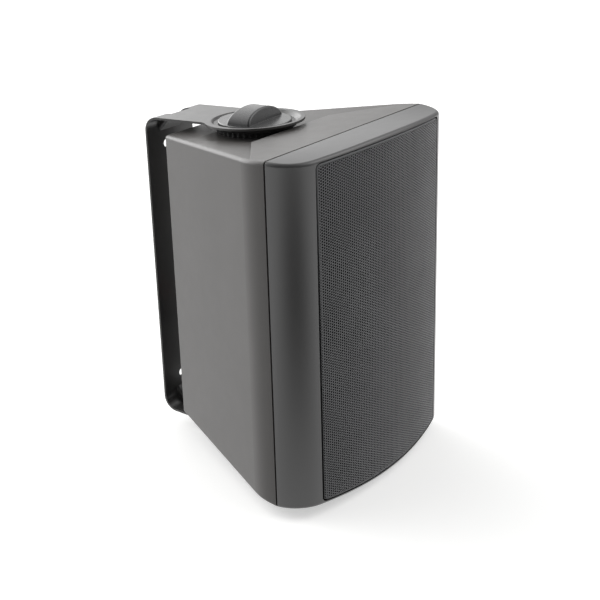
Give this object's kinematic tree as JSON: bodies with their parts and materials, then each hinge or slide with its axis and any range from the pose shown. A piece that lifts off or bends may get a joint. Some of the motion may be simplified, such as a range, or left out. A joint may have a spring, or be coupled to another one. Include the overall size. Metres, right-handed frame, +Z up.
{
  "type": "wall speaker",
  "caption": "Two-way wall speaker: tapered cabinet with bowed perforated grille, held by clamp knobs in a folded U-bracket it swivels in.",
  "frame": {"origin": "middle of the bracket's wall face", "axes": "+Z up along the swivel axis, +Y into the wall, the grille faces -Y"},
  "size_m": [0.186, 0.194, 0.2548],
  "materials": {
    "cabinet_plastic": "charcoal, fine matt texture",
    "seal_rubber": "black, soft",
    "washer_rubber": "black, moulded teeth",
    "grille_steel": "black powder coat, finely perforated",
    "bracket_steel": "black satin powder coat",
    "knob_plastic": "black satin",
    "screw_steel": "blackened zinc",
    "stud_steel": "bright zinc",
    "insert_brass": "turned",
    "basket_steel": "black, pressed sheet",
    "cone_paper": "black pulp",
    "spider_cloth": "resin-stiffened cloth",
    "coil_former": "thin wrapped tube",
    "magnet_ferrite": "dark ceramic",
    "motor_steel": "zinc plated",
    "tweeter_plastic": "black",
    "dome_silk": "black coated cloth",
    "board_laminate": "green laminate",
    "capacitor_case": "film wrapped",
    "choke_copper": "enamelled wire",
    "resistor_cement": "white cement",
    "terminal_plastic": "black",
    "lever_red": "red",
    "lever_black": "black",
    "contact_tin": "tinned"
  },
  "bodies": {
    "bracket": {"wall_bracket": "bracket_steel"},
    "cabinet": {"rear_shell": "cabinet_plastic", "front_frame": "cabinet_plastic", "cabinet_seal": "seal_rubber", "cabinet_screws": "screw_steel", "grille": "grille_steel", "top_washer": "washer_rubber", "bottom_washer": "washer_rubber", "top_insert": "insert_brass", "bottom_insert": "insert_brass", "woofer_gasket": "seal_rubber", "woofer_basket": "basket_steel", "woofer_surround": "seal_rubber", "woofer_spider": "spider_cloth", "woofer_top_plate": "motor_steel", "woofer_magnet": "magnet_ferrite", "woofer_pole_plate": "motor_steel", "woofer_screws": "screw_steel", "tweeter_faceplate": "tweeter_plastic", "tweeter_dome": "dome_silk", "tweeter_magnet": "magnet_ferrite", "tweeter_screws": "screw_steel", "crossover_board": "board_laminate", "crossover_capacitor": "capacitor_case", "crossover_coil": "choke_copper", "crossover_resistor": "resistor_cement", "crossover_screws": "stud_steel", "terminal_cup": "terminal_plastic", "terminal_contacts": "contact_tin", "terminal_screws": "screw_steel"},
    "top_knob": {"top_knob": "knob_plastic", "top_knob_stud": "stud_steel"},
    "bottom_knob": {"bottom_knob": "knob_plastic", "bottom_knob_stud": "stud_steel"},
    "woofer_cone": {"woofer_cone": "cone_paper", "woofer_dust_cap": "cone_paper", "woofer_voice_coil": "coil_former"},
    "terminal_lever_red": {"terminal_lever_red": "lever_red"},
    "terminal_lever_black": {"terminal_lever_black": "lever_black"}
  },
  "joints": [
    {"name": "cabinet_swivel", "type": "hinge", "parent": "bracket", "child": "cabinet", "pos_m": [0, -0.081, 0], "axis": [0, 0, 1], "range_deg": [-75, 75]},
    {"name": "top_knob_turn", "type": "hinge", "parent": "cabinet", "child": "top_knob", "pos_m": [0, -0.081, 0], "axis": [0, 0, 1], "range_deg": [0, 360]},
    {"name": "bottom_knob_turn", "type": "hinge", "parent": "cabinet", "child": "bottom_knob", "pos_m": [0, -0.081, 0], "axis": [0, 0, -1], "range_deg": [0, 360]},
    {"name": "woofer_excursion", "type": "slide", "parent": "cabinet", "child": "woofer_cone", "axis": [0, -1, 0], "range_m": [-0.003, 0.003], "stiffness_N_per_m": 900},
    {"name": "red_lever_press", "type": "hinge", "parent": "cabinet", "child": "terminal_lever_red", "pos_m": [0.0093, -0.036, -0.0236], "axis": [-1, 0, 0], "range_deg": [0, 26], "stiffness_Nm_per_rad": 0.04, "springref_deg": -8.59},
    {"name": "black_lever_press", "type": "hinge", "parent": "cabinet", "child": "terminal_lever_black", "pos_m": [-0.0093, -0.036, -0.0236], "axis": [-1, 0, 0], "range_deg": [0, 26], "stiffness_Nm_per_rad": 0.04, "springref_deg": -8.59}
  ]
}
